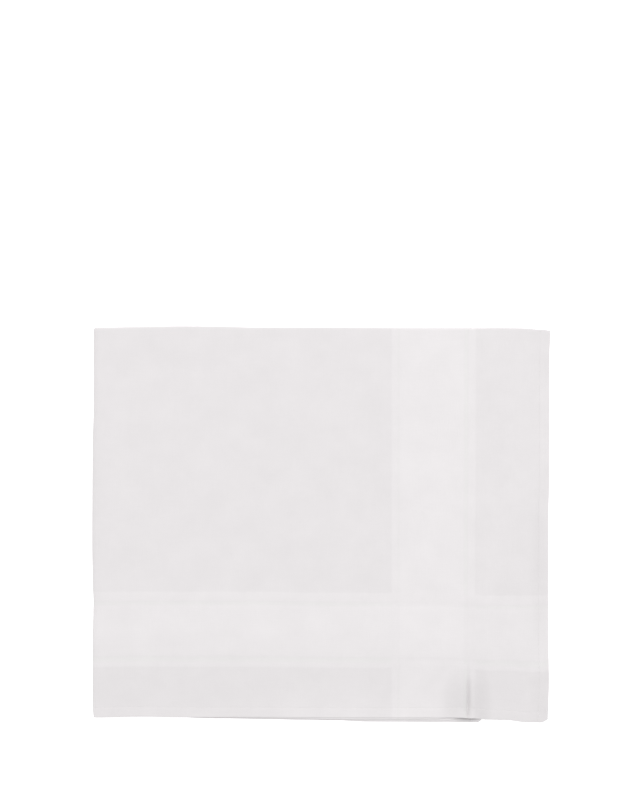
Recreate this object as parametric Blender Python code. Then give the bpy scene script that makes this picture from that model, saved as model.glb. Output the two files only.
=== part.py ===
"""A cotton handkerchief with narrow stitched hems, folded twice and lying flat.

One piece of cloth is laid out flat as a thin solid, then folded: first the far half goes under along
the top crease, then the left half of that pair goes under along the left crease. Four layers result,
a little apart. The second fold is off centre, so the two lower layers end short of the right hem and
the two upper ones come down past them to the surface.

Metres, +Z up. +X runs along the folded width and +Y towards the top crease. The origin is under the
middle of the folded cloth, on the surface that it lies on.
"""

import math
from collections import namedtuple

import bmesh
import bpy

# The cloth and its layers
CLOTH_THICKNESS = 0.0010
LAYER_PITCH = 0.0015
HEM_WIDTH = 0.0055
HEM_EXTRA = 0.0001
HEM_SLOPE = 0.0006

# The folded outline: across is measured from the left crease, down from the top crease
FOLDED_WIDTH = 0.2275
FOLDED_HEIGHT = 0.1950
UNDER_WIDTH = 0.1940
INNER_SHORTFALL = 0.0004

# Each bend's radius is that of the surface midway between the layers that it joins
TOP_BEND = LAYER_PITCH / 2
LEFT_BEND = LAYER_PITCH
TOP_BEND_STEPS = 6
LEFT_BEND_STEPS = 8
STACK_HEIGHT = 3 * LAYER_PITCH + CLOTH_THICKNESS

# How far a bend's outer face stands out beyond the line where its straight layers begin
TOP_BULGE = TOP_BEND + CLOTH_THICKNESS / 2
LEFT_BULGE = LEFT_BEND + TOP_BULGE

# The upper pair comes down to the surface past the end of the lower pair
STEP_GAP = 0.0006
STEP_DROP = 2 * LAYER_PITCH
STEP_DIVISIONS = 7
StepRun = namedtuple("StepRun", "down length")
STEP_RUNS = (
    StepRun(down=0.000, length=0.0180),
    StepRun(down=0.090, length=0.0165),
    StepRun(down=0.150, length=0.0150),
    StepRun(down=0.195, length=0.0110),
)

# The hem tuck: a short pressed trough that runs up from the bottom hem
TUCK_ACROSS = 0.1873
TUCK_HALF_WIDTH = 0.0026
TUCK_HEIGHT = 0.0250
TUCK_DEPTH = 0.0006

CLOTH_COLOUR = (0.81, 0.785, 0.78, 1.0)
CLOTH_ROUGHNESS = 0.9

# An edge's unevenness dies away over this distance inside the cloth
EDGE_FADE = 0.0800

# How far an edge stands out of its straight line, along that edge
Wander = namedtuple("Wander", "along out")
LEFT_CREASE = (
    Wander(along=0.038, out=-0.0002),
    Wander(along=0.062, out=0.0004),
    Wander(along=0.107, out=0.0006),
    Wander(along=0.128, out=0.0003),
    Wander(along=0.137, out=-0.0001),
    Wander(along=0.155, out=0.0004),
    Wander(along=0.188, out=0.0005),
    Wander(along=0.195, out=0.0000),
)
RIGHT_HEM = (
    Wander(along=0.002, out=0.0006),
    Wander(along=0.030, out=0.0003),
    Wander(along=0.062, out=0.0003),
    Wander(along=0.090, out=-0.0001),
    Wander(along=0.150, out=-0.0002),
    Wander(along=0.176, out=0.0002),
    Wander(along=0.188, out=-0.0001),
    Wander(along=0.195, out=-0.0004),
)
TOP_CREASE = (
    Wander(along=0.001, out=-0.0002),
    Wander(along=0.020, out=0.0002),
    Wander(along=0.043, out=0.0006),
    Wander(along=0.062, out=0.0005),
    Wander(along=0.080, out=0.0000),
    Wander(along=0.115, out=0.0000),
    Wander(along=0.140, out=-0.0002),
    Wander(along=0.165, out=-0.0008),
    Wander(along=0.187, out=-0.0008),
    Wander(along=0.200, out=-0.0003),
    Wander(along=0.212, out=-0.0004),
    Wander(along=0.223, out=-0.0011),
    Wander(along=0.228, out=-0.0018),
)
BOTTOM_HEM = (
    Wander(along=0.002, out=0.0000),
    Wander(along=0.024, out=-0.0004),
    Wander(along=0.049, out=0.0001),
    Wander(along=0.085, out=-0.0002),
    Wander(along=0.183, out=-0.0003),
    Wander(along=0.193, out=0.0010),
    Wander(along=0.206, out=0.0011),
    Wander(along=0.217, out=0.0021),
    Wander(along=0.2245, out=0.0021),
    Wander(along=0.228, out=0.0003),
)

# How far the lower pair shows past the edges of the upper one
LOWER_PAIR_BOTTOM = (
    Wander(along=0.045, out=0.0000),
    Wander(along=0.070, out=0.0006),
    Wander(along=0.122, out=0.0016),
    Wander(along=0.136, out=0.0023),
    Wander(along=0.190, out=0.0024),
    Wander(along=0.194, out=0.0018),
)
LOWER_PAIR_TOP = (
    Wander(along=0.145, out=0.0000),
    Wander(along=0.165, out=0.0004),
    Wander(along=0.187, out=0.0004),
    Wander(along=0.194, out=0.0000),
)

# Soft swells and hollows of the top layer, each an oval around its own middle
Relief = namedtuple("Relief", "across down half_width half_height rise")
RELIEFS = (
    Relief(across=0.000, down=0.095, half_width=0.028, half_height=0.130, rise=0.00030),
    Relief(across=0.060, down=0.000, half_width=0.080, half_height=0.030, rise=0.00030),
    Relief(across=0.090, down=0.090, half_width=0.070, half_height=0.060, rise=-0.00020),
    Relief(across=0.150, down=0.030, half_width=0.050, half_height=0.050, rise=0.00015),
    Relief(across=0.020, down=0.165, half_width=0.030, half_height=0.020, rise=-0.00015),
    Relief(across=0.110, down=0.180, half_width=0.060, half_height=0.030, rise=0.00015),
    Relief(
        across=TUCK_ACROSS,
        down=FOLDED_HEIGHT,
        half_width=TUCK_HALF_WIDTH,
        half_height=TUCK_HEIGHT,
        rise=-TUCK_DEPTH,
    ),
)

# Where the flat cloth is divided, as distances from the end of a bend
ACROSS_STATIONS = (0.005, 0.014, 0.028, 0.044, 0.062, 0.082, 0.102, 0.122, 0.138, 0.152, 0.164, 0.174)
DOWN_STATIONS = (0.006, 0.018, 0.034, 0.052, 0.072, 0.092, 0.110, 0.124, 0.138, 0.150, 0.162, 0.171, 0.179)


def eased(share):
    """0 to 1, with a soft start and end."""
    share = min(1.0, max(0.0, share))
    return share * share * (3 - 2 * share)


def read_table(rows, place):
    """A two-column table's value at one place, eased from each row to the next."""
    if place <= rows[0][0]:
        return rows[0][1]
    for (start, before), (end, after) in zip(rows, rows[1:]):
        if place <= end:
            return before + (after - before) * eased((place - start) / (end - start))
    return rows[-1][1]


def fold_over(along, radius, lift):
    """Folds a flat strip back under itself. Returns the distance past the bend, and the height."""
    quarter = math.pi * radius / 2
    reach = radius + lift
    if along >= quarter:
        return along - quarter, reach
    if along <= -quarter:
        return -along - quarter, -reach
    angle = along / radius
    return -reach * math.cos(angle), reach * math.sin(angle)


def relief(across, down):
    """The height of the swells and hollows at one place of the folded cloth."""
    total = 0.0
    for row in RELIEFS:
        off_across = (across - row.across) / row.half_width
        off_down = (down - row.down) / row.half_height
        distance = off_across**2 + off_down**2
        if distance < 1:
            total += row.rise * (1 - distance) ** 2
    return total


def hem_share(along, down, reach_across, reach_down):
    """1 where the cloth is turned in along a hem, 0 in the open cloth."""
    edge = min(reach_across - along, reach_down - down)
    return eased((HEM_WIDTH + HEM_SLOPE - edge) / HEM_SLOPE)


def settled(across, down, height, lower):
    """Where a point of the neatly folded cloth comes to lie, with the edges uneven and the step down."""
    left_share = 1 - eased(across / EDGE_FADE)
    right_share = 1 - eased((FOLDED_WIDTH - across) / EDGE_FADE)
    top_share = 1 - eased(down / EDGE_FADE)
    bottom_share = 1 - eased((FOLDED_HEIGHT - down) / EDGE_FADE)
    top_out = read_table(TOP_CREASE, across)
    bottom_out = read_table(BOTTOM_HEM, across)
    drop = 0.0
    if lower:
        top_out += read_table(LOWER_PAIR_TOP, across)
        bottom_out += read_table(LOWER_PAIR_BOTTOM, across)
    else:
        step_share = (across - UNDER_WIDTH - STEP_GAP) / read_table(STEP_RUNS, down)
        drop = STEP_DROP * eased(step_share)
    x = across - read_table(LEFT_CREASE, down) * left_share + read_table(RIGHT_HEM, down) * right_share
    y = -down + top_out * top_share - bottom_out * bottom_share
    lift = relief(across, down) * height / STACK_HEIGHT
    return x, y, height - drop + lift * (1 - drop / STACK_HEIGHT)


def folded_place(along, away, offset):
    """The place in the folded cloth of a point of the flat one. offset is measured from its middle."""
    past_top, pair_height = fold_over(away, TOP_BEND, offset)
    past_left, stack_height = fold_over(along, LEFT_BEND, pair_height)
    across = past_left + LEFT_BULGE
    down = past_top + TOP_BULGE
    return settled(across, down, stack_height + STACK_HEIGHT / 2, along < 0)


def bend_stations(radius, steps):
    """Places round a bend, from one end of it to the other."""
    quarter = math.pi * radius / 2
    return [quarter * (2 * i / steps - 1) for i in range(steps + 1)]


def hem_stations(reach):
    """Where the cloth thickens into its hem, and its edge."""
    return [reach - HEM_WIDTH - HEM_SLOPE, reach - HEM_WIDTH, reach - HEM_WIDTH / 2, reach]


def across_stations():
    """The divisions of the flat cloth along its width, from the lower layers' end to the right hem."""
    quarter = math.pi * LEFT_BEND / 2
    under_end = UNDER_WIDTH - LEFT_BULGE
    top_end = FOLDED_WIDTH - LEFT_BULGE
    tuck = [TUCK_ACROSS - LEFT_BULGE + TUCK_HALF_WIDTH * share for share in (-1, -0.5, 0, 0.5, 1)]
    step_start = under_end + STEP_GAP
    step_run = max(row.length for row in STEP_RUNS)
    step = [step_start + step_run * i / STEP_DIVISIONS for i in range(STEP_DIVISIONS + 1)]
    before_hem = (step[-1] + top_end - HEM_WIDTH) / 2
    upper = list(ACROSS_STATIONS) + tuck + [under_end - HEM_WIDTH / 2] + step + [before_hem]
    upper += hem_stations(top_end)
    lower = list(ACROSS_STATIONS) + tuck[:3] + hem_stations(under_end)[1:]
    stations = [-(quarter + distance) for distance in sorted(lower, reverse=True)]
    stations += bend_stations(LEFT_BEND, LEFT_BEND_STEPS)
    stations += [quarter + distance for distance in sorted(upper)]
    return stations


def away_stations():
    """The divisions of the flat cloth along its height, from the inner hem to the outer one."""
    quarter = math.pi * TOP_BEND / 2
    outer_end = FOLDED_HEIGHT - TOP_BULGE
    inner_end = outer_end - INNER_SHORTFALL
    outer = list(DOWN_STATIONS) + hem_stations(outer_end)
    inner = list(DOWN_STATIONS) + hem_stations(inner_end)
    stations = [-(quarter + distance) for distance in reversed(inner)]
    stations += bend_stations(TOP_BEND, TOP_BEND_STEPS)
    stations += [quarter + distance for distance in outer]
    return stations


def flat_cloth(across, away):
    """The cloth laid out flat: a divided rectangle, extruded to its thickness, thicker in its hems."""
    cloth = bmesh.new()
    middle = CLOTH_THICKNESS / 2
    grid = [[cloth.verts.new((a, b, middle)) for b in away] for a in across]
    for left, right in zip(grid, grid[1:]):
        for i in range(len(away) - 1):
            cloth.faces.new((left[i], right[i], right[i + 1], left[i + 1]))
    extruded = bmesh.ops.extrude_face_region(cloth, geom=cloth.faces[:])
    for vert in (item for item in extruded["geom"] if isinstance(item, bmesh.types.BMVert)):
        reach_across = across[-1] if vert.co.x > 0 else -across[0]
        reach_away = away[-1] if vert.co.y > 0 else -away[0]
        turned_in = hem_share(abs(vert.co.x), abs(vert.co.y), reach_across, reach_away)
        vert.co.z = -middle - HEM_EXTRA * turned_in
    bmesh.ops.recalc_face_normals(cloth, faces=cloth.faces[:])
    return cloth


def fold(cloth):
    """Folds the flat cloth and lays it over the origin, with its lowest face on the surface."""
    for vert in cloth.verts:
        vert.co = folded_place(*vert.co)
    low = [min(vert.co[axis] for vert in cloth.verts) for axis in range(3)]
    high = [max(vert.co[axis] for vert in cloth.verts) for axis in range(3)]
    middle = ((low[0] + high[0]) / 2, (low[1] + high[1]) / 2, low[2])
    for vert in cloth.verts:
        vert.co = [value - centre for value, centre in zip(vert.co, middle)]
    # Away from the top crease is +Y in the flat cloth and -Y once folded, which turns every face inwards
    bmesh.ops.reverse_faces(cloth, faces=cloth.faces[:])


def cloth_material():
    material = bpy.data.materials.new("white cotton")
    material.use_nodes = True
    shader = material.node_tree.nodes["Principled BSDF"]
    shader.inputs["Base Color"].default_value = CLOTH_COLOUR
    shader.inputs["Roughness"].default_value = CLOTH_ROUGHNESS
    shader.inputs["Metallic"].default_value = 0.0
    return material


def make_handkerchief():
    cloth = flat_cloth(across_stations(), away_stations())
    fold(cloth)
    mesh = bpy.data.meshes.new("handkerchief")
    cloth.to_mesh(mesh)
    cloth.free()
    mesh.materials.append(cloth_material())
    mesh.shade_smooth()
    handkerchief = bpy.data.objects.new("handkerchief", mesh)
    bpy.context.scene.collection.objects.link(handkerchief)


for old in list(bpy.data.objects):
    bpy.data.objects.remove(old)
make_handkerchief()
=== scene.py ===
"""A folded cotton handkerchief, seen from straight above on a white studio floor.

The cloth is one woven sheet with four narrow hems, folded twice. Its points are worked out on the flat
cloth and then carried through both folds, so the weave, the striped borders and the sewing follow the
folds. Metres, +Z up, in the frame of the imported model.
"""

import math
from collections import namedtuple
from functools import partial

import bmesh
import bpy
import numpy as np
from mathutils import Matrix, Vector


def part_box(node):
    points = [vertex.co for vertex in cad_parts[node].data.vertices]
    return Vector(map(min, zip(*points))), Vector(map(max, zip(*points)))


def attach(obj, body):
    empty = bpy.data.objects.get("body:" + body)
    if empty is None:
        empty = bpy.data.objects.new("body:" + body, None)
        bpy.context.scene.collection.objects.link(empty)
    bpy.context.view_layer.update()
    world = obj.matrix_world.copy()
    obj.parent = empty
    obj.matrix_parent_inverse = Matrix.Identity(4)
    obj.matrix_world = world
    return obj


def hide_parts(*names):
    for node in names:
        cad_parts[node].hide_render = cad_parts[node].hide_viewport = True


bl_info = {
    "name": "Folded cotton handkerchief",
    "version": (1, 0, 0),
    "blender": (4, 5, 0),
    "location": "3D View > Sidebar > Handkerchief",
    "description": "Makes a folded handkerchief with striped borders and stitched hems",
    "category": "Add Mesh",
}

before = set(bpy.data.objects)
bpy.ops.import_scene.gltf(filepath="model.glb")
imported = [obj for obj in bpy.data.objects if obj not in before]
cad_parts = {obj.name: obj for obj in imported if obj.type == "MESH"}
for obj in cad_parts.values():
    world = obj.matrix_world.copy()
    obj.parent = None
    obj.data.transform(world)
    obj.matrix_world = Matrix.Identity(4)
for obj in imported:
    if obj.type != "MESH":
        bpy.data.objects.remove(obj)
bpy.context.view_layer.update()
CLOTH_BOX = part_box("handkerchief")

MM = 0.001


def table(columns, *rows):
    """The rows of a table, each with its columns as named values."""
    named = namedtuple("Row", columns)
    return tuple(named(*row) for row in rows)


# Edge tables: how far an edge stands out of its straight line, along that edge
LEFT_CREASE = table(
    "along out",
    (0.038, -0.0002),
    (0.062, 0.0004),
    (0.107, 0.0006),
    (0.128, 0.0003),
    (0.137, -0.0001),
    (0.155, 0.0004),
    (0.188, 0.0005),
    (0.195, 0.0000),
)
RIGHT_HEM = table(
    "along out",
    (0.002, 0.0008),
    (0.014, 0.0004),
    (0.076, 0.0003),
    (0.094, -0.0001),
    (0.150, -0.0002),
    (0.176, 0.0002),
    (0.188, -0.0001),
    (0.195, -0.0004),
)
TOP_CREASE = table(
    "along out",
    (0.001, -0.0002),
    (0.020, 0.0002),
    (0.043, 0.0006),
    (0.062, 0.0005),
    (0.080, 0.0000),
    (0.115, 0.0000),
    (0.140, -0.0001),
    (0.165, -0.0004),
    (0.187, -0.0005),
    (0.200, -0.0002),
    (0.212, -0.0003),
    (0.223, -0.0010),
    (0.228, -0.0016),
)
BOTTOM_HEM = table(
    "along out",
    (0.002, 0.0000),
    (0.024, -0.0004),
    (0.046, -0.0001),
    (0.058, -0.0001),
    (0.072, -0.0002),
    (0.090, -0.0001),
    (0.106, 0.0000),
    (0.122, 0.0001),
    (0.183, 0.0001),
    (0.190, 0.0004),
    (0.1955, 0.0010),
    (0.206, 0.0013),
    (0.217, 0.0024),
    (0.2245, 0.0025),
    (0.228, 0.0009),
)

# How far the lower pair of layers shows past the edges of the upper one
LOWER_PAIR_BOTTOM = table(
    "along out",
    (0.044, 0.0000),
    (0.052, 0.0004),
    (0.063, 0.0007),
    (0.083, 0.0010),
    (0.104, 0.0013),
    (0.122, 0.0014),
    (0.134, 0.0021),
    (0.146, 0.0022),
    (0.183, 0.0023),
    (0.190, 0.0020),
    (0.1925, 0.0018),
    (0.1941, 0.0007),
)
LOWER_PAIR_TOP = table(
    "along out",
    (0.145, 0.0000),
    (0.165, 0.0004),
    (0.187, 0.0004),
    (0.194, 0.0000),
)
# How far the inner layers show past the outer ones. At the tuck the lower one is drawn back.
UPPER_INNER_BOTTOM = table(
    "along out",
    (0.044, 0.0000),
    (0.056, 0.0005),
    (0.083, 0.0008),
    (0.104, 0.0010),
    (0.122, 0.0012),
    (0.134, 0.0013),
    (0.172, 0.0010),
    (0.181, 0.0000),
)
LOWER_INNER_BOTTOM = table(
    "along out",
    (0.1000, 0.0000),
    (0.1220, -0.0002),
    (0.1760, -0.0002),
    (0.1805, -0.0008),
    (0.1850, -0.0025),
    (0.1875, -0.0025),
    (0.1905, -0.0014),
    (0.1940, -0.0008),
)

# How far the stripes of the bottom border sag towards their hem. Past the tuck they hang lower
BORDER_SAG = table(
    "along out",
    (0.080, 0.0000),
    (0.118, 0.0005),
    (0.168, 0.0007),
    (0.197, 0.0019),
    (0.228, 0.0018),
)
# How much of that sag there is, by distance from the bottom hem's edge
SAG_SHARES = table(
    "edge share",
    (0.008, 0.0),
    (0.043, 1.0),
    (0.065, 1.0),
    (0.145, 0.0),
)

# The upper pair's way down to the surface, past the end of the lower pair
STEP_RUNS = table(
    "down length",
    (0.000, 0.0180),
    (0.090, 0.0165),
    (0.150, 0.0150),
    (0.195, 0.0110),
)
STEP_GAP = 0.6 * MM
STEP_DIVISIONS = 14

# Heights counted in layer pitches: a pair of layers, the top layer's middle above the lowest one's,
# and the top layer's middle above the surface, which the camera is set by
PAIR_PITCHES = 2
STACK_PITCHES = 3
VIEWED_PITCHES = 3.5

# Divisions of the mesh round the two folded bends
LEFT_BEND_STEPS = 12
TOP_BEND_STEPS = 10

# Soft swells and hollows of the top layer, each an oval around its own middle
RELIEFS = table(
    "across down half_width half_height rise",
    (0.000, 0.095, 0.028, 0.130, 0.00030),
    (0.060, 0.000, 0.080, 0.030, 0.00030),
    (0.090, 0.090, 0.070, 0.060, -0.00020),
    (0.150, 0.030, 0.050, 0.050, 0.00015),
    (0.020, 0.165, 0.030, 0.020, -0.00015),
    (0.110, 0.180, 0.060, 0.030, 0.00015),
    # The hollow round the hem tuck, and the one where the cloth comes off the lower pair's corner
    (0.1860, 0.200, 0.0120, 0.031, -0.00035),
    (0.1940, 0.194, 0.0050, 0.028, -0.00053),
    # The upper pair's hem stands up a little at the tuck
    (0.1860, 0.1970, 0.0085, 0.007, 0.00130),
    # A hollow beside the right hem
    (0.2222, 0.113, 0.0034, 0.026, -0.00064),
    # The hem of the lower pair shows through as a low ridge
    (0.1912, 0.110, 0.0034, 0.125, 0.00014),
    (0.1908, 0.190, 0.0030, 0.025, 0.00026),
)

# Sharp creases that run up from just above the bottom hem's edge, as V-shaped troughs
CREASES = table("across half_width height stop depth", (0.1872, 0.0011, 0.0235, 0.0012, 0.00086))
# The part of a crease's height over which it runs out at the top
CREASE_RUN_OUT = 1 / 3
# Where the mesh has lines of points beside a crease, in half widths from its middle
CREASE_LINES = (-6, -4, -2.6, -1.7, -1, -0.6, -0.25, 0, 0.25, 0.6, 1, 1.7, 2.6, 4)

# Painted shade on the top layer, as ovals of the folded cloth: darker in the hollows and the crease round
# the hem tuck, beside the right hem and towards the lower right corner. Below zero is painted light, which
# lifts the bottom border where its slope falls into shade
PAINTED_SHADE_AND_LIGHT = table(
    "across down half_width half_height share",
    (0.1820, 0.193, 0.0090, 0.025, 0.92),
    (0.1873, 0.183, 0.0016, 0.019, 0.52),
    (0.1930, 0.193, 0.0070, 0.026, 0.75),
    (0.2140, 0.190, 0.0300, 0.026, 0.20),
    (0.2120, 0.152, 0.0320, 0.030, 0.20),
    (0.2245, 0.006, 0.0070, 0.022, 0.22),
    (0.2230, 0.118, 0.0052, 0.044, 0.42),
    (0.2232, 0.190, 0.0060, 0.026, 0.30),
    (0.1230, 0.190, 0.0450, 0.017, -0.30),
)
# The same on the lowest layer's strip that shows: painted light along the hem, where the upper hem shades
# the strip, and painted shade under the tuck
PAINTED_SHADE_AND_LIGHT_BELOW = table(
    "across down half_width half_height share",
    (0.1100, 0.195, 0.0700, 0.012, -0.80),
    (0.1873, 0.195, 0.0085, 0.008, 1.90),
)

# Long gentle waves of the pressed cloth: wavelengths across and down, a shift in radians and a height
SWELLS = table(
    "across down shift height",
    (0.071, 0.160, 0.6, 0.00006),
    (-0.118, 0.058, 2.1, 0.00006),
    (0.043, -0.047, 4.0, 0.00003),
    (0.029, 0.083, 1.3, 0.00003),
)

# Small puckers along a stitched hem: wavelength, shift in radians and height
PUCKERS = table(
    "wavelength shift height",
    (0.0113, 0.3, 0.00006),
    (0.0067, 1.9, 0.00004),
    (0.0261, 4.4, 0.00008),
)
# They grow over PUCKER_START from 1 mm outside the edge, and have died away PUCKER_REACH inside it
PUCKER_START = 4 * MM
PUCKER_REACH = 14 * MM

# The woven stripes of a border, by distance from the hem's edge
SIDE_STRIPES = table(
    "weave start end rise",
    ("cord", 0.0369, 0.0406, 0.00003),
    ("groove", 0.0406, 0.0426, -0.00002),
    ("satin", 0.0426, 0.0746, 0.00002),
    ("groove", 0.0746, 0.0754, -0.00002),
    ("cord", 0.0754, 0.0784, 0.00003),
)
END_STRIPES = table(
    "weave start end rise",
    ("cord", 0.0253, 0.0278, 0.00002),
    ("groove", 0.0278, 0.0308, -0.00002),
    ("satin", 0.0308, 0.0563, 0.00002),
    ("groove", 0.0563, 0.0583, -0.00001),
    ("cord", 0.0583, 0.0629, 0.00002),
)
# The width of a stripe's sloping side, and how far from the hem's edge the stripes' colours reach
STRIPE_SLOPE = 0.4 * MM
STRIPE_RANGE = 0.1

# Where the mesh has lines of points along a hem, in millimetres from its edge: the rounded edge, the
# flat middle, and the seam with the turned-in fold
EDGE_LINES = (0.0, 0.025, 0.07, 0.13, 0.22)
FLAT_LINES = (0.8, 1.6, 2.7, 3.8, 4.4)
SEAM_LINES = (4.65, 4.8, 4.95, 5.1, 5.3, 5.5, 5.75, 6.2)
HEM_LINES = EDGE_LINES + FLAT_LINES + SEAM_LINES
# A line nearer than this to the one before it is left out
CLOSEST_LINES = 0.02 * MM

# The hem's shape: its rounded edge, its swell on the right side and its turned-in fold on the wrong one
EDGE_RADIUS = 0.22 * MM
EDGE_MIDDLE = -0.07 * MM
HEM_SWELL = 0.06 * MM
HEM_TURNING = 0.10 * MM
HEM_SWELL_SLOPE = 1.0 * MM
HEM_STEP = 0.25 * MM
SEAM_DEPTH = 0.06 * MM
SEAM_HALF_WIDTH = 0.30 * MM
# The stitches on the underside stand out this far, and carry the hems
UNDER_STITCHES = 0.12 * MM

# The lines of sewing: how far from the cloth's edges they end, and how far apart their points are
SEAM_MARGIN = 1.0 * MM
SEAM_SPACING = 0.8 * MM
# The heights of a stitch's ends and of its middle control point, in thread radii
STITCH_DIP = -1.2
STITCH_RISE = 2.0
# Its divisions along the thread and round it
STITCH_STEPS = 5
THREAD_SIDES = 6
# The least and the greatest share of its length, width and height that a stitch has
SMALLEST_STITCH = (0.9, 1.0, 0.9)
LARGEST_STITCH = (1.06, 1.0, 1.1)
STITCH_SEED = 7
# The plies of the thread, as noise in cells for each metre: they repeat about 0.17 mm apart
PLY_SCALE = 6000.0

# The cotton's noises, by their cells for each millimetre along and across: the wander of the yarns, a
# broad mottling, the slubs one way and the other, and the floats of the satin stripes
NOISES = table(
    "name along across detail",
    ("wander", 0.35, 0.35, 3),
    ("mottle", 0.07, 0.07, 3),
    ("weft slub", 0.10, 2.2, 3),
    ("warp slub", 2.2, 0.10, 3),
    ("side floats", 2.5, 0.16, 1),
    ("end floats", 0.16, 2.5, 1),
)
# In millimetres: from one yarn to the next, and how far the yarns wander
YARN_PITCH = 0.3
YARN_WANDER = 0.25
# How far the slubs stand out, against the yarns' own height
SLUB_RELIEF = 1.2
BUMP_HEIGHT = 0.02 * MM
# The share of the colour that each change of tone takes or gives
SLUB_TONE = 0.030
MOTTLE_TONE = 0.08
HEM_TONE = 0.006
CROSSING_TONE = 0.015
# Painted shade: how much the ovals darken the colour, and lighten it as painted light where their share is
# below zero
PAINTED_SHADE_TONE = 0.09
PLAIN_ROUGHNESS = 0.9
SMOOTH_ROUGHNESS = 0.75
# Each weave as a channel of the stripes' colour ramp
CHANNELS = {"satin": (1, 0, 0, 1), "cord": (0, 1, 0, 1), "groove": (0, 0, 1, 1), "plain": (0, 0, 0, 1)}

# The bake's map, in shares of its square: a margin, and the places of the right side and the wrong side
BAKE_MARGIN = 0.002
BAKE_PLACES = table("start height", (0.005, 0.65), (0.67, 0.325))

# The studio: a soft lamp, and a surround that the camera sees as just past white
LAMP_PLACE = (0.31, 1.45, 2.37)
LAMP_SIZE = 1.6
SEEN_WHITE = 1.05
WHITE = (1, 1, 1, 1)
MATH = "ShaderNodeMath"


def eased(share):
    """0 to 1, with a soft start and end."""
    share = np.clip(share, 0, 1)
    return share * share * (3 - 2 * share)


def read_table(rows, places):
    """A two-column table's values at the given places, eased from each row to the next."""
    starts, values = np.array(rows).T
    row = np.clip(np.searchsorted(starts, places) - 1, 0, len(rows) - 2)
    share = (places - starts[row]) / (starts[row + 1] - starts[row])
    return values[row] + (values[row + 1] - values[row]) * eased(share)


def fold_over(along, radius, lift):
    """Folds a flat strip back under itself. Returns the distance past the bend, and the height."""
    quarter = math.pi * radius / 2
    reach = radius + lift
    angle = np.clip(along, -quarter, quarter) / radius
    bent = -reach * np.cos(angle)
    past = np.maximum(np.abs(along) - quarter, 0)
    return bent + past, reach * np.sin(angle)


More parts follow.
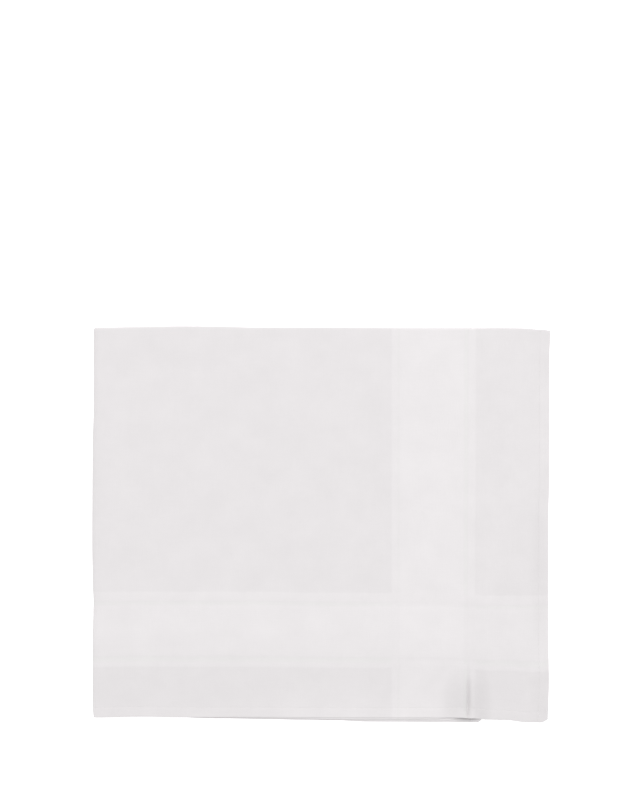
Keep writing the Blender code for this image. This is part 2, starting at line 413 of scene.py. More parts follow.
class FoldedCloth:
    """Carries points of the flat cloth to their places in the folded one.

    along runs from the lower layers' hem, below zero, round the left crease to the right hem. away runs
    from the inner layers' hem, below zero, round the top crease to the outer layers' hem.
    """

    def __init__(self, sizes):
        self.sizes = sizes
        self.top_bend = sizes.layer_pitch / 2
        self.left_bend = sizes.layer_pitch
        self.top_bulge = self.top_bend + sizes.solid_thickness / 2
        self.left_bulge = self.left_bend + self.top_bulge
        left_quarter = math.pi * self.left_bend / 2
        top_quarter = math.pi * self.top_bend / 2
        self.right_reach = sizes.folded_width - self.left_bulge + left_quarter
        self.lower_reach = sizes.under_width - self.left_bulge + left_quarter
        self.outer_reach = sizes.folded_height - self.top_bulge + top_quarter
        self.inner_reach = self.outer_reach - sizes.inner_shortfall

    def flat_size(self):
        return self.right_reach + self.lower_reach, self.outer_reach + self.inner_reach

    def side_edge(self, along):
        """The distance from the nearer of the two side hems' edges."""
        return np.where(along > 0, self.right_reach - along, self.lower_reach + along)

    def end_edge(self, away):
        """The distance from the nearer of the two end hems' edges."""
        return np.where(away > 0, self.outer_reach - away, self.inner_reach + away)

    def relief(self, across, down):
        """The height of the swells, hollows, waves and creases at places of the folded cloth."""
        total = np.zeros_like(across)
        for row in RELIEFS:
            off_across = (across - row.across) / row.half_width
            off_down = (down - row.down) / row.half_height
            total += row.rise * np.clip(1 - off_across**2 - off_down**2, 0, 1) ** 2
        for row in CREASES:
            side = np.clip(1 - np.abs(across - row.across) / row.half_width, 0, 1)
            above_edge = self.sizes.folded_height - down
            up = eased((row.height - above_edge) / (row.height * CREASE_RUN_OUT))
            total -= row.depth * side * up * eased(above_edge / row.stop)
        for row in SWELLS:
            turn = math.tau * (across / row.across + down / row.down)
            total += row.height * np.sin(turn + row.shift)
        sizes = self.sizes
        bottom_fall = eased((down - sizes.folded_height + sizes.fall_run) / sizes.fall_run)
        side_fall = eased((across - sizes.folded_width + sizes.side_fall_run) / sizes.side_fall_run)
        return total - sizes.fall_depth * (1 - (1 - bottom_fall) * (1 - side_fall))

    def painted_shade_and_light(self, along, away, rows):
        """How much painted shade the rows of ovals put on the cloth; below zero it is painted light."""
        across = fold_over(along, self.left_bend, 0)[0] + self.left_bulge
        down = fold_over(away, self.top_bend, 0)[0] + self.top_bulge
        total = np.zeros_like(across)
        for row in rows:
            off_across = (across - row.across) / row.half_width
            off_down = (down - row.down) / row.half_height
            total += row.share * np.clip(1 - off_across**2 - off_down**2, 0, 1)
        return total

    def puckers(self, along, away):
        """The small waves that the sewing draws into the cloth beside a hem."""
        total = 0
        for edge, run in ((self.side_edge(along), away), (self.end_edge(away), along)):
            near = (1 - eased(edge / PUCKER_REACH)) * eased((edge + MM) / PUCKER_START)
            for row in PUCKERS:
                total = total + near * row.height * np.sin(math.tau * run / row.wavelength + row.shift)
        return total

    def settled(self, across, down, height, middle, lower, inner):
        """Where points of the neatly folded cloth come to lie, with uneven edges and the step down.

        middle is the height of the middle of the point's own layer. lower and inner say which one it is.
        """
        sizes = self.sizes
        left_share = 1 - eased(across / sizes.edge_fade)
        right_share = 1 - eased((sizes.folded_width - across) / sizes.edge_fade)
        top_share = 1 - eased(down / sizes.edge_fade)
        bottom_share = 1 - eased((sizes.folded_height - down) / sizes.edge_fade)
        top_out = read_table(TOP_CREASE, across) + lower * read_table(LOWER_PAIR_TOP, across)
        bottom_out = read_table(BOTTOM_HEM, across) + lower * read_table(LOWER_PAIR_BOTTOM, across)
        bottom_out += inner * lower * read_table(LOWER_INNER_BOTTOM, across)
        bottom_out += inner * ~lower * read_table(UPPER_INNER_BOTTOM, across)
        step_share = (across - sizes.under_width - STEP_GAP) / read_table(STEP_RUNS, down)
        drop = np.where(lower, 0, PAIR_PITCHES * sizes.layer_pitch * eased(step_share))
        left_out, right_out = read_table(LEFT_CREASE, down), read_table(RIGHT_HEM, down)
        x = across - left_out * left_share + right_out * right_share
        sag = read_table(BORDER_SAG, across) * read_table(SAG_SHARES, sizes.folded_height - down)
        y = -down + top_out * top_share - bottom_out * bottom_share - sag
        # The top layer takes the whole relief, the ones below it less, and the lowest none
        share = (middle - drop - sizes.seat_height) / (STACK_PITCHES * sizes.layer_pitch)
        return x, y, height - drop + self.relief(across, down) * share

    def place(self, along, away, offset):
        """Folded places of flat ones. offset is the distance from the middle of the cloth's thickness."""
        past_top, pair_height = fold_over(away, self.top_bend, offset)
        past_left, height = fold_over(along, self.left_bend, pair_height)
        middle = fold_over(along, self.left_bend, fold_over(away, self.top_bend, 0)[1])[1]
        across = past_left + self.left_bulge
        down = past_top + self.top_bulge
        level = STACK_PITCHES / 2 * self.sizes.layer_pitch + self.sizes.seat_height
        x, y, z = self.settled(across, down, height + level, middle + level, along < 0, away < 0)
        pucker = self.puckers(along, away) * np.clip(z / self.sizes.layer_pitch, 0, 1)
        return np.stack([x, y, z + pucker], -1)

    def faces(self, along, away):
        """The offsets of the cloth's right side and wrong side, with the hems turned to the wrong side."""
        half = self.sizes.cloth_thickness / 2
        side, end = self.side_edge(along), self.end_edge(away)
        hem = self.sizes.hem_width
        seam_at = self.sizes.seam_inset
        turned = np.maximum(*(eased((hem - e) / HEM_STEP + 0.5) for e in (side, end)))
        swell_end = seam_at + SEAM_HALF_WIDTH
        swell = np.maximum(*(eased((swell_end - e) / HEM_SWELL_SLOPE) for e in (side, end)))
        seam = sum(eased(1 - np.abs(e - seam_at) / SEAM_HALF_WIDTH) for e in (side, end))
        rounding = 1
        for e in (side, end):
            rounding = rounding * np.sqrt(1 - (1 - np.clip(e / EDGE_RADIUS, 0, 1)) ** 2)
        weave = stripe_rise(SIDE_STRIPES, side) + stripe_rise(END_STRIPES, end)
        right_side = half + HEM_SWELL * swell - SEAM_DEPTH * seam + weave
        wrong_side = -half - HEM_TURNING * turned + SEAM_DEPTH * seam
        middle = EDGE_MIDDLE * turned
        return middle + (right_side - middle) * rounding, middle + (wrong_side - middle) * rounding


def stripe_rise(stripes, edge):
    """How far the woven stripes stand up, by distance from the hem's edge."""
    total = 0
    for row in stripes:
        begun = eased((edge - row.start) / STRIPE_SLOPE + 0.5)
        not_ended = eased((row.end - edge) / STRIPE_SLOPE + 0.5)
        total = total + row.rise * begun * not_ended
    return total


def filled(keys, spacing):
    """Sorted key places, with evenly spaced ones between them, so that no gap is wider than spacing."""
    keys = sorted(keys)
    keys = keys[:1] + [key for last, key in zip(keys, keys[1:]) if key - last > CLOSEST_LINES]
    stations = []
    for start, end in zip(keys, keys[1:]):
        parts = max(1, math.ceil((end - start) / spacing))
        stations += [start + (end - start) * i / parts for i in range(parts)]
    return stations + [keys[-1]]


def border_keys(reach, stripes):
    """Places of the mesh's lines along a hem, and at the edges of the stripes beside it."""
    keys = [reach - line * MM for line in HEM_LINES]
    for place in sorted({row.start for row in stripes} | {row.end for row in stripes}):
        keys += [reach - place - STRIPE_SLOPE / 2, reach - place + STRIPE_SLOPE / 2]
    return keys


def bend_keys(radius, steps):
    """Evenly spaced places round a bend, from one of its ends to the other."""
    quarter = math.pi * radius / 2
    return [quarter * (2 * i / steps - 1) for i in range(steps + 1)]


def across_keys(cloth):
    """The cloth's divisions along its width: the lower layers, the left crease and the upper layers."""
    sizes = cloth.sizes
    to_along = math.pi * cloth.left_bend / 2 - cloth.left_bulge
    upper = [math.pi * cloth.left_bend / 2] + border_keys(cloth.right_reach, SIDE_STRIPES)
    for row in CREASES:
        upper += [row.across + to_along + row.half_width * line for line in CREASE_LINES]
    step_start = sizes.under_width + STEP_GAP + to_along
    step_run = max(row.length for row in STEP_RUNS)
    upper += [step_start + step_run * i / STEP_DIVISIONS for i in range(STEP_DIVISIONS + 1)]
    lower = [math.pi * cloth.left_bend / 2] + border_keys(cloth.lower_reach, SIDE_STRIPES)
    lower = [-place for place in reversed(filled(lower, sizes.hidden_spacing))]
    return lower + bend_keys(cloth.left_bend, LEFT_BEND_STEPS)[1:-1] + filled(upper, sizes.spacing)


def away_keys(cloth):
    """The cloth's divisions along its height: the inner layers, the top crease and the outer layers."""
    sizes = cloth.sizes
    quarter = math.pi * cloth.top_bend / 2
    outer = [quarter] + border_keys(cloth.outer_reach, END_STRIPES)
    inner = [quarter] + border_keys(cloth.inner_reach, END_STRIPES)
    inner = [-place for place in reversed(filled(inner, sizes.hidden_spacing))]
    return inner + bend_keys(cloth.top_bend, TOP_BEND_STEPS)[1:-1] + filled(outer, sizes.spacing)


def laid_on_solid(points, low, high):
    """Moves points as the cloth's box, from low to high, moves to stand centred where the solid stands."""
    solid_low, solid_high = np.array(CLOTH_BOX)
    shift = (solid_low + solid_high) / 2 - (low + high) / 2
    shift[2] = solid_low[2] + UNDER_STITCHES - low[2]
    return points + shift


def linear(hex_colour):
    """The linear colour of an sRGB hex value such as #E9E6E6."""
    values = [int(hex_colour[i : i + 2], 16) / 255 for i in (1, 3, 5)]
    return [v / 12.92 if v <= 0.04045 else ((v + 0.055) / 1.055) ** 2.4 for v in values]


def add_node(tree, kind, inputs=(), **settings):
    """Adds a node with its settings. Its inputs, by name or in order, take values, sockets or nodes."""
    node = tree.nodes.new(kind)
    for name, value in settings.items():
        setattr(node, name, value)
    for name, value in inputs.items() if isinstance(inputs, dict) else enumerate(inputs):
        if isinstance(value, bpy.types.Node):
            value = value.outputs[0]
        if isinstance(value, bpy.types.NodeSocket):
            tree.links.new(value, node.inputs[name])
        else:
            node.inputs[name].default_value = value
    return node


def grid_faces(rows, columns, start, flip):
    """The quads of a grid of points, of which the first has the number start."""
    quads = []
    for i in range(rows - 1):
        for j in range(columns - 1):
            a = start + i * columns + j
            quad = (a, a + columns, a + columns + 1, a + 1)
            quads.append(quad[::-1] if flip else quad)
    return quads


class ClothSizes(bpy.types.PropertyGroup):
    """The handkerchief's sizes."""

    folded_width: bpy.props.FloatProperty(
        name="Folded width", description="Left crease to right hem", default=0.2275, unit="LENGTH"
    )
    folded_height: bpy.props.FloatProperty(
        name="Folded height", description="Top crease to bottom hem", default=0.195, unit="LENGTH"
    )
    under_width: bpy.props.FloatProperty(
        name="Lower pair's width", description="Left crease to the lower hem", default=0.194, unit="LENGTH"
    )
    inner_shortfall: bpy.props.FloatProperty(
        name="Inner shortfall", description="How far short inner layers fall", default=0.0004, unit="LENGTH"
    )
    layer_pitch: bpy.props.FloatProperty(
        name="Layer pitch", description="Middle of one layer to the next", default=0.0015, unit="LENGTH"
    )
    solid_thickness: bpy.props.FloatProperty(
        name="Solid's thickness", description="Thickness of the solid's layer", default=0.001, unit="LENGTH"
    )
    cloth_thickness: bpy.props.FloatProperty(
        name="Cloth thickness", description="Thickness of the cotton", default=0.0002, unit="LENGTH"
    )
    seat_height: bpy.props.FloatProperty(
        name="Seat height", description="Middle of the lowest layer, in Z", default=0.00033, unit="LENGTH"
    )
    hem_width: bpy.props.FloatProperty(
        name="Hem width", description="Edge to the turned-in fold", default=0.0055, unit="LENGTH"
    )
    seam_inset: bpy.props.FloatProperty(
        name="Seam inset", description="Edge to the line of stitches", default=0.0049, unit="LENGTH"
    )
    fall_run: bpy.props.FloatProperty(
        name="Fall run", description="Sinking length at the bottom hem", default=0.045, unit="LENGTH"
    )
    side_fall_run: bpy.props.FloatProperty(
        name="Side fall run", description="Sinking length at the right hem", default=0.018, unit="LENGTH"
    )
    fall_depth: bpy.props.FloatProperty(
        name="Fall depth", description="How far the top layer sinks there", default=0.0033, unit="LENGTH"
    )
    edge_fade: bpy.props.FloatProperty(
        name="Edge fade", description="Reach of an edge's unevenness", default=0.08, unit="LENGTH"
    )
    spacing: bpy.props.FloatProperty(
        name="Mesh spacing", description="Widest face that shows", default=0.0022, unit="LENGTH"
    )
    hidden_spacing: bpy.props.FloatProperty(
        name="Hidden mesh spacing", description="Widest other face", default=0.0055, unit="LENGTH"
    )


class StitchSizes(bpy.types.PropertyGroup):
    """The sizes of the hems' sewing."""

    pitch: bpy.props.FloatProperty(
        name="Stitch pitch", description="Start of one stitch to the next", default=0.0024, unit="LENGTH"
    )
    length: bpy.props.FloatProperty(
        name="Stitch length", description="Visible length of a stitch", default=0.0020, unit="LENGTH"
    )
    thread_radius: bpy.props.FloatProperty(
        name="Thread radius", description="Half the thread's thickness", default=0.00011, unit="LENGTH"
    )


class FinishSettings(bpy.types.PropertyGroup):
    """The colours of the cotton and its sewing thread, as sRGB hex values."""

    ground: bpy.props.StringProperty(name="Ground", description="Plain-weave cotton", default="#D9D6D7")
    satin: bpy.props.StringProperty(name="Satin", description="Satin stripes", default="#DCD9DA")
    groove: bpy.props.StringProperty(name="Groove", description="Lines between stripes", default="#DBD9D9")
    thread: bpy.props.StringProperty(name="Thread", description="Sewing thread", default="#DCDADA")
    floor: bpy.props.StringProperty(name="Floor", description="Studio floor", default="#F4F4F4")


class StageSettings(bpy.types.PropertyGroup):
    """The camera and the studio light."""

    lens: bpy.props.FloatProperty(name="Lens", description="Focal length", default=135.0, unit="CAMERA")
    frame_height: bpy.props.FloatProperty(
        name="Frame height", description="Height of the photographed field", default=0.3980, unit="LENGTH"
    )
    aim_across: bpy.props.FloatProperty(
        name="Aim across", description="The view's centre, in X", default=-0.00068, unit="LENGTH"
    )
    aim_up: bpy.props.FloatProperty(
        name="Aim up", description="The view's centre, in Y", default=0.0620, unit="LENGTH"
    )
    floor_size: bpy.props.FloatProperty(
        name="Floor size", description="Side of the studio floor", default=8.0, unit="LENGTH"
    )
    key_power: bpy.props.FloatProperty(
        name="Key light", description="Power of the soft lamp", default=32.4, unit="POWER"
    )
    sky: bpy.props.FloatProperty(name="Surround", description="Strength of its light", default=0.85)
    glow: bpy.props.FloatProperty(name="Floor glow", description="Strength of its light", default=0.38)


def stripe_masks(tree, place, size, wander, stripes):
    """The shares of satin, cord and groove, and the distance from the nearer of two hems."""
    add = partial(add_node, tree)
    from_far_hem = add(MATH, (size, place), operation="SUBTRACT")
    edge = add(MATH, (place, from_far_hem), operation="MINIMUM")
    wandering = add(MATH, (edge, wander), operation="ADD")
    share = add(MATH, (wandering, STRIPE_RANGE / MM), operation="DIVIDE")
    ramp = add("ShaderNodeValToRGB", [share])
    points = ramp.color_ramp.elements
    points[0].color = CHANNELS["plain"]
    points[1].color = CHANNELS["plain"]
    changes = [(0.0, "plain")]
    changes += [(row.start, row.weave) for row in stripes]
    changes += [(stripes[-1].end, "plain")]
    for (_, before), (start, after) in zip(changes, changes[1:]):
        points.new((start - STRIPE_SLOPE) / STRIPE_RANGE).color = CHANNELS[before]
        points.new((start + STRIPE_SLOPE) / STRIPE_RANGE).color = CHANNELS[after]
    return add("ShaderNodeSeparateColor", [ramp]).outputs, edge


def cotton_material(cloth, finish):
    """Bleached cotton lawn: a matt, slightly slubby plain weave with smoother, brighter satin stripes."""
    material = bpy.data.materials.new("bleached cotton lawn")
    material.use_nodes = True
    tree = material.node_tree
    add = partial(add_node, tree)

    # The flat cloth's own coordinates, in millimetres from its lower left corner
    flat = add("ShaderNodeUVMap", uv_map="cloth")
    millimetres = add("ShaderNodeMapping", {"Vector": flat, "Scale": (1 / MM, 1 / MM, 1)})
    along, away, _ = add("ShaderNodeSeparateXYZ", [millimetres]).outputs
    width, height = (size / MM for size in cloth.flat_size())
    noises = {}
    for row in NOISES:
        cells = add("ShaderNodeMapping", {"Vector": millimetres, "Scale": (row.along, row.across, 1)})
        inputs = {"Vector": cells, "Scale": 1.0, "Detail": row.detail, "Roughness": 0.6}
        noises[row.name] = add("ShaderNodeTexNoise", inputs)

    # Yarns wander a little, so no stripe has a ruled edge
    wander = add(MATH, (noises["wander"], 2 * YARN_WANDER, -YARN_WANDER), operation="MULTIPLY_ADD")
    side, side_edge = stripe_masks(tree, along, width, wander, SIDE_STRIPES)
    end, end_edge = stripe_masks(tree, away, height, wander, END_STRIPES)
    satin, cord, groove = (add(MATH, pair, operation="MAXIMUM") for pair in zip(side, end))
    smooth = add(MATH, (satin, cord), operation="MAXIMUM")

    # Plain weave: round yarns, and at each crossing the other one passes over
    yarns = []
    for place, sway in ((along, "ADD"), (away, "SUBTRACT")):
        swayed = add(MATH, (place, wander), operation=sway)
        turn = add(MATH, (swayed, math.pi / YARN_PITCH), operation="MULTIPLY")
        yarns.append(add(MATH, [turn], operation="SINE"))
    over = add(MATH, yarns, operation="MULTIPLY")
    heights = []
    for yarn, lift in zip(yarns, (0.5, -0.5)):
        rounded = add(MATH, [yarn], operation="ABSOLUTE")
        lifted = add(MATH, (over, lift, 0.5), operation="MULTIPLY_ADD")
        heights.append(add(MATH, (rounded, lifted), operation="MULTIPLY"))
    higher = add(MATH, heights, operation="MAXIMUM")
    woven = add(MATH, (higher, 2, -1), operation="MULTIPLY_ADD")
    # Satin: long floats lie side by side, about 0.4 mm apart and 6 mm long, along each stripe
    for share, floats in ((side[0], noises["side floats"]), (end[0], noises["end floats"])):
        ribs = add(MATH, (floats, 2, -1), operation="MULTIPLY_ADD")
        woven = add("ShaderNodeMix", {0: share, 2: woven, 3: ribs}, data_type="FLOAT")
    # Slubs: thick places in the yarn, as short streaks both ways
    slub = add(MATH, (noises["weft slub"], noises["warp slub"]), operation="ADD")
    relief = add(MATH, (slub, SLUB_RELIEF, woven), operation="MULTIPLY_ADD")

    colour = (*linear(finish.ground), 1)
    for share, dye in ((groove, finish.groove), (smooth, finish.satin)):
        inputs = {0: share, 6: colour, 7: (*linear(dye), 1)}
        colour = add("ShaderNodeMix", inputs, data_type="RGBA").outputs[2]
    # Five faint changes of tone: slubs, broad mottling, turned-in hems, the crossing of the two satin
    # stripes, and the ovals of painted shade and painted light
    from_hem = add(MATH, (side_edge, end_edge), operation="MINIMUM")
    hem = add(MATH, (from_hem, cloth.sizes.seam_inset / MM), operation="LESS_THAN")
    crossing = add(MATH, (side[0], end[0]), operation="MULTIPLY")
    # The ovals of painted shade and painted light, carried on the mesh as an attribute
    painted_shade_and_light = add("ShaderNodeAttribute", attribute_name="painted_shade_and_light").outputs["Fac"]
    tones = (
        (slub, SLUB_TONE, 1 - SLUB_TONE),
        (noises["mottle"], MOTTLE_TONE, 1 - MOTTLE_TONE / 2),
        (hem, HEM_TONE, 1),
        (crossing, CROSSING_TONE, 1),
        (painted_shade_and_light, -PAINTED_SHADE_TONE, 1),
    )
    tone = 1.0
    for change in tones:
        changed = add(MATH, change, operation="MULTIPLY_ADD")
        tone = add(MATH, (tone, changed), operation="MULTIPLY")
    colour = add("ShaderNodeVectorMath", {0: colour, "Scale": tone}, operation="SCALE")
    smoother = SMOOTH_ROUGHNESS - PLAIN_ROUGHNESS
    roughness = add(MATH, (smooth, smoother, PLAIN_ROUGHNESS), operation="MULTIPLY_ADD")
    bump = add("ShaderNodeBump", {"Strength": 0.6, "Distance": BUMP_HEIGHT, "Height": relief})

    shader = tree.nodes["Principled BSDF"]
    tree.links.new(colour.outputs[0], shader.inputs["Base Color"])
    tree.links.new(roughness.outputs[0], shader.inputs["Roughness"])
    tree.links.new(bump.outputs[0], shader.inputs["Normal"])
    shader.inputs["Specular IOR Level"].default_value = 0.25
    shader.inputs["Sheen Weight"].default_value = 0.08
    shader.inputs["Sheen Roughness"].default_value = 0.5
    return material


def thread_material(finish):
    """Mercerised cotton sewing thread: two plies twisted together, with a soft lustre."""
    material = bpy.data.materials.new("mercerised sewing thread")
    material.use_nodes = True
    tree = material.node_tree
    shader = tree.nodes["Principled BSDF"]
    place = add_node(tree, "ShaderNodeTexCoord").outputs["Object"]
    ply = add_node(tree, "ShaderNodeTexNoise", {"Vector": place, "Scale": PLY_SCALE, "Detail": 1.0})
    bump = add_node(tree, "ShaderNodeBump", {"Strength": 0.5, "Distance": BUMP_HEIGHT, "Height": ply})
    shader.inputs["Base Color"].default_value = (*linear(finish.thread), 1)
    shader.inputs["Roughness"].default_value = 0.55
    tree.links.new(bump.outputs[0], shader.inputs["Normal"])
    return material


class HANDKERCHIEF_OT_weave_cloth(bpy.types.Operator):
    """Make the folded cloth, with its hems and striped borders."""

    bl_idname = "handkerchief.weave_cloth"
    bl_label = "Weave and fold the cloth"

    def execute(self, context):
        sizes = context.scene.handkerchief_cloth
        cloth = FoldedCloth(sizes)
        along, away = across_keys(cloth), away_keys(cloth)
        grid_along, grid_away = np.meshgrid(along, away, indexing="ij")
        right_side, wrong_side = cloth.faces(grid_along, grid_away)
        points = [cloth.place(grid_along, grid_away, side) for side in (right_side, wrong_side)]
        points = np.concatenate([side.reshape(-1, 3) for side in points])
        low, high = points.min(0), points.max(0)
        points = laid_on_solid(points, low, high)
        # The stitches are moved with the cloth, by the same box
        context.scene["cloth_low"] = list(low)
        context.scene["cloth_high"] = list(high)

        rows, columns = len(along), len(away)
        faces = grid_faces(rows, columns, 0, flip=True)
        faces += grid_faces(rows, columns, rows * columns, flip=False)
        mesh = bpy.data.meshes.new("handkerchief_cloth")
        mesh.from_pydata(points.tolist(), [], faces)
        flat = np.stack([grid_along + cloth.lower_reach, grid_away + cloth.inner_reach], -1).reshape(-1, 2)
        corner_vertices = np.empty(len(mesh.loops), np.int32)
        mesh.loops.foreach_get("vertex_index", corner_vertices)
        corner_flat = flat[corner_vertices % len(flat)]
        mesh.uv_layers.new(name="cloth").uv.foreach_set("vector", corner_flat.astype(np.float32).ravel())
        self.lay_out_for_bake(mesh, corner_flat / cloth.flat_size(), corner_vertices >= len(flat))
        # Painted shade and painted light on the top layer and on the lowest layer's strip that shows
        painted_shade_and_light = np.zeros((2, grid_along.size), np.float32)
        top = (grid_along > 0) & (grid_away > 0)
        lowest = (grid_along < 0) & (grid_away > 0)
        painted_shade_and_light[0] = np.where(top, cloth.painted_shade_and_light(grid_along, grid_away, PAINTED_SHADE_AND_LIGHT), 0).ravel()
        painted_shade_and_light[1] = np.where(lowest, cloth.painted_shade_and_light(grid_along, grid_away, PAINTED_SHADE_AND_LIGHT_BELOW), 0).ravel()
        mesh.attributes.new("painted_shade_and_light", "FLOAT", "POINT").data.foreach_set("value", painted_shade_and_light.ravel())
        self.close_edge(mesh, rows, columns)
        mesh.shade_smooth()
        mesh.materials.append(cotton_material(cloth, context.scene.handkerchief_finish))
        piece = bpy.data.objects.new("handkerchief_cloth", mesh)
        context.scene.collection.objects.link(piece)
        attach(piece, "root")
        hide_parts("handkerchief")
        return {"FINISHED"}

    def lay_out_for_bake(self, mesh, shares, wrong):
        """A map with nothing overlapping: the right side below, and the wrong side in a third above it."""
        places = BAKE_MARGIN + (1 - 2 * BAKE_MARGIN) * shares
        below, above = (row.start + row.height * shares[:, 1] for row in BAKE_PLACES)
        places[:, 1] = np.where(wrong, above, below)
        mesh.uv_layers.new(name="OFBake").uv.foreach_set("vector", places.astype(np.float32).ravel())

    def close_edge(self, mesh, rows, columns):
        """Joins the right side to the wrong side, where they meet along the hems' edges."""
        cloth = bmesh.new()
        cloth.from_mesh(mesh)
        cloth.verts.ensure_lookup_table()
        count = rows * columns
        right, wrong = cloth.verts[:count], cloth.verts[count:]
        at_rim = np.ones((rows, columns), bool)
        at_rim[1:-1, 1:-1] = False
        bmesh.ops.weld_verts(cloth, targetmap={wrong[i]: right[i] for i in np.flatnonzero(at_rim)})
        if any(len(edge.link_faces) != 2 for edge in cloth.edges):
            raise RuntimeError("the cloth's edge isn't closed")
        cloth.to_mesh(mesh)
        cloth.free()


def seam_lines(cloth):
    """The eight lines of sewing, four on each side of the cloth, as places on the flat cloth."""
    inset = cloth.sizes.seam_inset
    lines = []
    across = np.arange(SEAM_MARGIN - cloth.lower_reach, cloth.right_reach - SEAM_MARGIN, SEAM_SPACING)
    away = np.arange(SEAM_MARGIN - cloth.inner_reach, cloth.outer_reach - SEAM_MARGIN, SEAM_SPACING)
    for end in (cloth.outer_reach - inset, inset - cloth.inner_reach):
        lines.append((across, np.full_like(across, end)))
    for side in (cloth.right_reach - inset, inset - cloth.lower_reach):
        lines.append((np.full_like(away, side), away))
    return [(along, out, right) for along, out in lines for right in (True, False)]


def stitch_tree(material):
    """Geometry Nodes that lay a row of stitches along each line of a mesh of edges."""
    tree = bpy.data.node_groups.new("Hem stitches", "GeometryNodeTree")
    face = tree.interface
    face.new_socket("Seam lines", in_out="INPUT", socket_type="NodeSocketGeometry")
    for name in ("Stitch pitch", "Stitch length", "Thread radius"):
        face.new_socket(name, in_out="INPUT", socket_type="NodeSocketFloat")
    face.new_socket("Stitches", in_out="OUTPUT", socket_type="NodeSocketGeometry")
    given = tree.nodes.new("NodeGroupInput").outputs

    add = partial(add_node, tree)
    half = add(MATH, (given["Stitch length"], 0.5), operation="MULTIPLY")
    back = add(MATH, (half, -1.0), operation="MULTIPLY")
    dip = add(MATH, (given["Thread radius"], STITCH_DIP), operation="MULTIPLY")
    rise = add(MATH, (given["Thread radius"], STITCH_RISE), operation="MULTIPLY")
    start = add("ShaderNodeCombineXYZ", {0: back, 2: dip})
    middle = add("ShaderNodeCombineXYZ", {2: rise})
    end = add("ShaderNodeCombineXYZ", {0: half, 2: dip})
    bow = {"Resolution": STITCH_STEPS, "Start": start, "Middle": middle, "End": end}
    arch = add("GeometryNodeCurveQuadraticBezier", bow)
    round_thread = {"Resolution": THREAD_SIDES, "Radius": given["Thread radius"]}
    profile = add("GeometryNodeCurvePrimitiveCircle", round_thread)
    stitch = add("GeometryNodeCurveToMesh", {"Curve": arch, "Profile Curve": profile, "Fill Caps": True})

    lines = add("GeometryNodeMeshToCurve", {"Mesh": given["Seam lines"]})
    spaced = {"Curve": lines, "Length": given["Stitch pitch"]}
    marks = add("GeometryNodeResampleCurve", spaced, mode="LENGTH")
    tangent = add("GeometryNodeInputTangent")
    outward = add("GeometryNodeInputNamedAttribute", {"Name": "outward"}, data_type="FLOAT_VECTOR")
    ahead = add("FunctionNodeAlignRotationToVector", {"Vector": tangent}, axis="X")
    upright = {"Rotation": ahead, "Vector": outward}
    turned = add("FunctionNodeAlignRotationToVector", upright, axis="Z", pivot_axis="X")
    limits = {"Min": SMALLEST_STITCH, "Max": LARGEST_STITCH, "Seed": STITCH_SEED}
    uneven = add("FunctionNodeRandomValue", limits, data_type="FLOAT_VECTOR")
    placed = {"Points": marks, "Instance": stitch, "Rotation": turned, "Scale": uneven}
    row = add("GeometryNodeInstanceOnPoints", placed)
    real = add("GeometryNodeRealizeInstances", {"Geometry": row})
    finished = add("GeometryNodeSetMaterial", {"Geometry": real, "Material": material})
    add("NodeGroupOutput", [finished])
    return tree


class HANDKERCHIEF_OT_sew_hems(bpy.types.Operator):
    """Sew the four hems, with real stitches on both sides of the cloth."""

    bl_idname = "handkerchief.sew_hems"
    bl_label = "Sew the hems"

    def execute(self, context):
        cloth = FoldedCloth(context.scene.handkerchief_cloth)
        stitches = context.scene.handkerchief_stitches
        seams = self.seam_object(context, cloth)
        material = thread_material(context.scene.handkerchief_finish)
        tree = stitch_tree(material)
        rows = seams.modifiers.new("Hem stitches", "NODES")
        rows.node_group = tree
        values = {
            "Stitch pitch": stitches.pitch,
            "Stitch length": stitches.length,
            "Thread radius": stitches.thread_radius,
        }
        for socket in tree.interface.items_tree:
            if socket.name in values:
                rows[socket.identifier] = values[socket.name]
        evaluated = seams.evaluated_get(context.evaluated_depsgraph_get())
        mesh = bpy.data.meshes.new_from_object(evaluated)
        bpy.data.objects.remove(seams)
        if len(mesh.polygons) == 0:
            raise RuntimeError("the hems got no stitches")
        self.fold_stitches(context, cloth, mesh)
        mesh.name = "hem_stitches"
        mesh.shade_smooth()
        piece = bpy.data.objects.new("hem_stitches", mesh)
        context.scene.collection.objects.link(piece)
        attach(piece, "root")
        return {"FINISHED"}

    def seam_object(self, context, cloth):
        """The lines of sewing as edges on the flat cloth, each point knowing which way is out of it."""
        places, outwards, edges = [], [], []
        for along, away, right in seam_lines(cloth):
            offset = cloth.faces(along, away)[0 if right else 1]
            first = sum(len(line) for line in places)
            edges += [(first + i, first + i + 1) for i in range(len(along) - 1)]
            places.append(np.stack([along, away, offset], -1))
            outwards += [(0, 0, 1 if right else -1)] * len(along)
        mesh = bpy.data.meshes.new("seam_lines")
        mesh.from_pydata(np.concatenate(places).tolist(), edges, [])
        outward = mesh.attributes.new("outward", "FLOAT_VECTOR", "POINT")
        outward.data.foreach_set("vector", np.array(outwards, np.float32).ravel())
        seams = bpy.data.objects.new("seam_lines", mesh)
        context.scene.collection.objects.link(seams)
        return seams

    def fold_stitches(self, context, cloth, mesh):
        """Carries the stitches through the folds. Folding mirrors them, so their faces are turned over."""
        flat = np.empty(3 * len(mesh.vertices), np.float32)
        mesh.vertices.foreach_get("co", flat)
        low, high = np.array(context.scene["cloth_low"]), np.array(context.scene["cloth_high"])
        folded = laid_on_solid(cloth.place(*flat.reshape(-1, 3).T), low, high)
        mesh.vertices.foreach_set("co", folded.astype(np.float32).ravel())
        mesh.flip_normals()
        mesh.update()


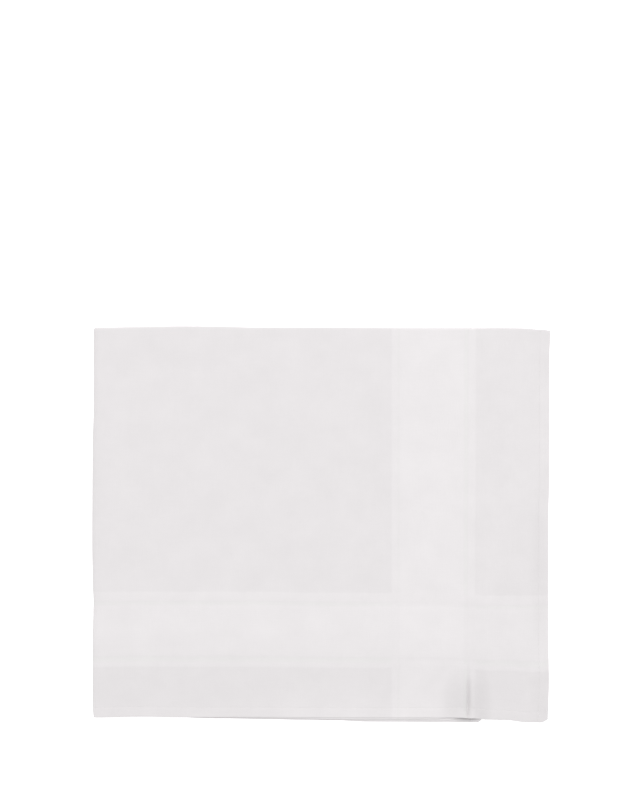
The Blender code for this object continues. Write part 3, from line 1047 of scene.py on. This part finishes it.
class HANDKERCHIEF_OT_set_stage(bpy.types.Operator):
    """Lay the white floor and set the soft light and the camera."""

    bl_idname = "handkerchief.set_stage"
    bl_label = "Set the stage"

    def execute(self, context):
        stage = context.scene.handkerchief_stage
        self.lay_floor(context, stage)
        self.light(context, stage)
        self.point_camera(context, stage)
        context.scene.view_settings.view_transform = "Standard"
        context.scene.view_settings.look = "None"
        return {"FINISHED"}

    def lay_floor(self, context, stage):
        half = stage.floor_size / 2
        mesh = bpy.data.meshes.new("floor")
        corners = [(-half, -half, 0), (half, -half, 0), (half, half, 0), (-half, half, 0)]
        mesh.from_pydata(corners, [], [(0, 1, 2, 3)])
        material = bpy.data.materials.new("backlit white acrylic")
        material.use_nodes = True
        shader = material.node_tree.nodes["Principled BSDF"]
        shader.inputs["Base Color"].default_value = (*linear(context.scene.handkerchief_finish.floor), 1)
        shader.inputs["Roughness"].default_value = 0.9
        shader.inputs["Specular IOR Level"].default_value = 0.1
        shader.inputs["Emission Color"].default_value = WHITE
        shader.inputs["Emission Strength"].default_value = stage.glow
        mesh.materials.append(material)
        floor = bpy.data.objects.new("floor", mesh)
        context.scene.collection.objects.link(floor)

    def light(self, context, stage):
        """A white surround, seen pure white by the camera, and a soft key from the upper right."""
        world = bpy.data.worlds.new("white surround")
        context.scene.world = world
        world.use_nodes = True
        tree = world.node_tree
        seen = add_node(tree, "ShaderNodeLightPath").outputs["Is Camera Ray"]
        inputs = {0: seen, 2: stage.sky, 3: SEEN_WHITE}
        strength = add_node(tree, "ShaderNodeMix", inputs, data_type="FLOAT")
        background = tree.nodes["Background"]
        background.inputs["Color"].default_value = WHITE
        tree.links.new(strength.outputs[0], background.inputs["Strength"])
        lamp = bpy.data.lights.new("key", "AREA")
        lamp.shape = "DISK"
        lamp.size = LAMP_SIZE
        lamp.energy = stage.key_power
        key = bpy.data.objects.new("key", lamp)
        key.location = LAMP_PLACE
        key.rotation_euler = (-key.location).to_track_quat("-Z", "Y").to_euler()
        context.scene.collection.objects.link(key)

    def point_camera(self, context, stage):
        """Straight above, with the photograph's framing at the height of the top layer."""
        camera = bpy.data.cameras.new("camera")
        camera.lens = stage.lens
        camera.clip_end = 100
        distance = stage.frame_height * stage.lens / camera.sensor_width
        top_of_cloth = VIEWED_PITCHES * context.scene.handkerchief_cloth.layer_pitch
        view = bpy.data.objects.new("camera", camera)
        view.location = (stage.aim_across, stage.aim_up, distance + top_of_cloth)
        context.scene.collection.objects.link(view)
        context.scene.camera = view


class HANDKERCHIEF_PT_panel(bpy.types.Panel):
    """The handkerchief's sizes, colours and steps."""

    bl_idname = "HANDKERCHIEF_PT_panel"
    bl_label = "Handkerchief"
    bl_space_type = "VIEW_3D"
    bl_region_type = "UI"
    bl_category = "Handkerchief"

    def draw(self, context):
        for name in PROPERTIES:
            box = self.layout.box()
            settings = getattr(context.scene, name)
            for field in settings.bl_rna.properties:
                if not field.is_readonly and field.identifier != "name":
                    box.prop(settings, field.identifier)
        for operator in OPERATORS:
            self.layout.operator(operator.bl_idname)


PROPERTIES = {
    "handkerchief_cloth": ClothSizes,
    "handkerchief_stitches": StitchSizes,
    "handkerchief_finish": FinishSettings,
    "handkerchief_stage": StageSettings,
}
OPERATORS = (
    HANDKERCHIEF_OT_weave_cloth,
    HANDKERCHIEF_OT_sew_hems,
    HANDKERCHIEF_OT_set_stage,
)


def register():
    for group in PROPERTIES.values():
        bpy.utils.register_class(group)
    for name, group in PROPERTIES.items():
        setattr(bpy.types.Scene, name, bpy.props.PointerProperty(type=group))
    for kind in (*OPERATORS, HANDKERCHIEF_PT_panel):
        bpy.utils.register_class(kind)


def unregister():
    for kind in (HANDKERCHIEF_PT_panel, *reversed(OPERATORS)):
        bpy.utils.unregister_class(kind)
    for name, group in PROPERTIES.items():
        delattr(bpy.types.Scene, name)
        bpy.utils.unregister_class(group)


def main():
    register()
    bpy.ops.handkerchief.weave_cloth()
    bpy.ops.handkerchief.sew_hems()
    bpy.ops.handkerchief.set_stage()


if __name__ == "__main__":
    main()
